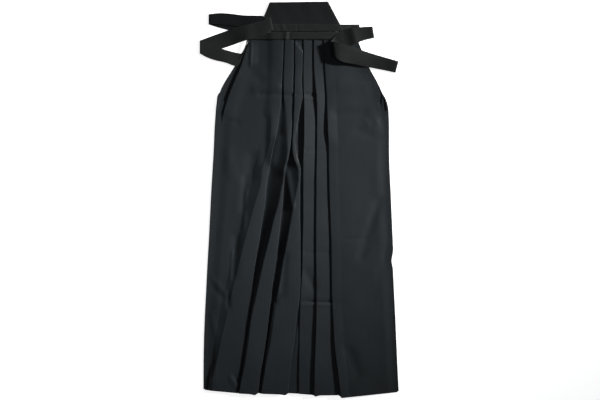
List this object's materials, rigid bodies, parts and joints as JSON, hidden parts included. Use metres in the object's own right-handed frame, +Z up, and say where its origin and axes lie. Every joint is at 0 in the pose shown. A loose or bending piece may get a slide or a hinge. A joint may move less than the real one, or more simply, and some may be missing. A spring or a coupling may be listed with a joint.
{
  "type": "hakama trousers laid flat",
  "caption": "Black pleated hakama trousers laid flat, front up, with a stiff back board, folded straps, side slits and wide legs.",
  "frame": {"origin": "centre of the bounding box's bottom face, on the surface the garment lies on", "axes": "+Y towards the waist and back board, +Z up out of the garment's front, -X the wearer's right"},
  "size_m": [0.5329, 1.0574, 0.0256],
  "materials": {
    "panel_cloth": "soft satin sheen, fine twill, pressed pleats",
    "strap_cloth": "matt doubled cloth, stitched edges",
    "board_cloth": "matt cloth stretched over a stiff board"
  },
  "bodies": {
    "root": {"front_leg_right": "panel_cloth", "front_leg_left": "panel_cloth", "back_leg_right": "panel_cloth", "back_leg_left": "panel_cloth", "front_waistband": "strap_cloth", "back_board": "board_cloth", "back_band": "strap_cloth", "front_strap_right": "strap_cloth", "front_strap_left": "strap_cloth", "back_strap_right": "strap_cloth", "back_strap_left": "strap_cloth"}
  },
  "joints": []
}
